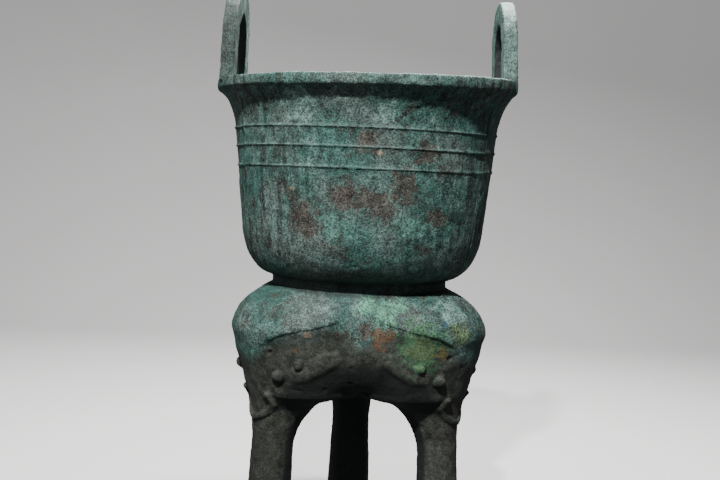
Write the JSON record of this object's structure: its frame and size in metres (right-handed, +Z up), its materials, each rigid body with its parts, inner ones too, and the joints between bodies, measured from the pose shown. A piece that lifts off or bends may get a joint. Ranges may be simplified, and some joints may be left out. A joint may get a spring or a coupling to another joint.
{
  "type": "bronze yan steamer vessel",
  "caption": "Ancient bronze yan steamer: flared bowl with upright loop handles and raised string lines, open narrow waist, hollow lobed tripod with beast masks and column legs.",
  "frame": {"origin": "middle of the vessel's footprint, on the floor under its feet", "axes": "+Z up along the bowl's axis, +X towards one handle, -Y the front between two legs"},
  "size_m": [0.3, 0.3, 0.5279],
  "materials": {
    "patinated_bronze": "cast bronze under mottled blue-green and brown patina, matt"
  },
  "bodies": {
    "root": {"yan_vessel": "patinated_bronze"}
  },
  "joints": []
}
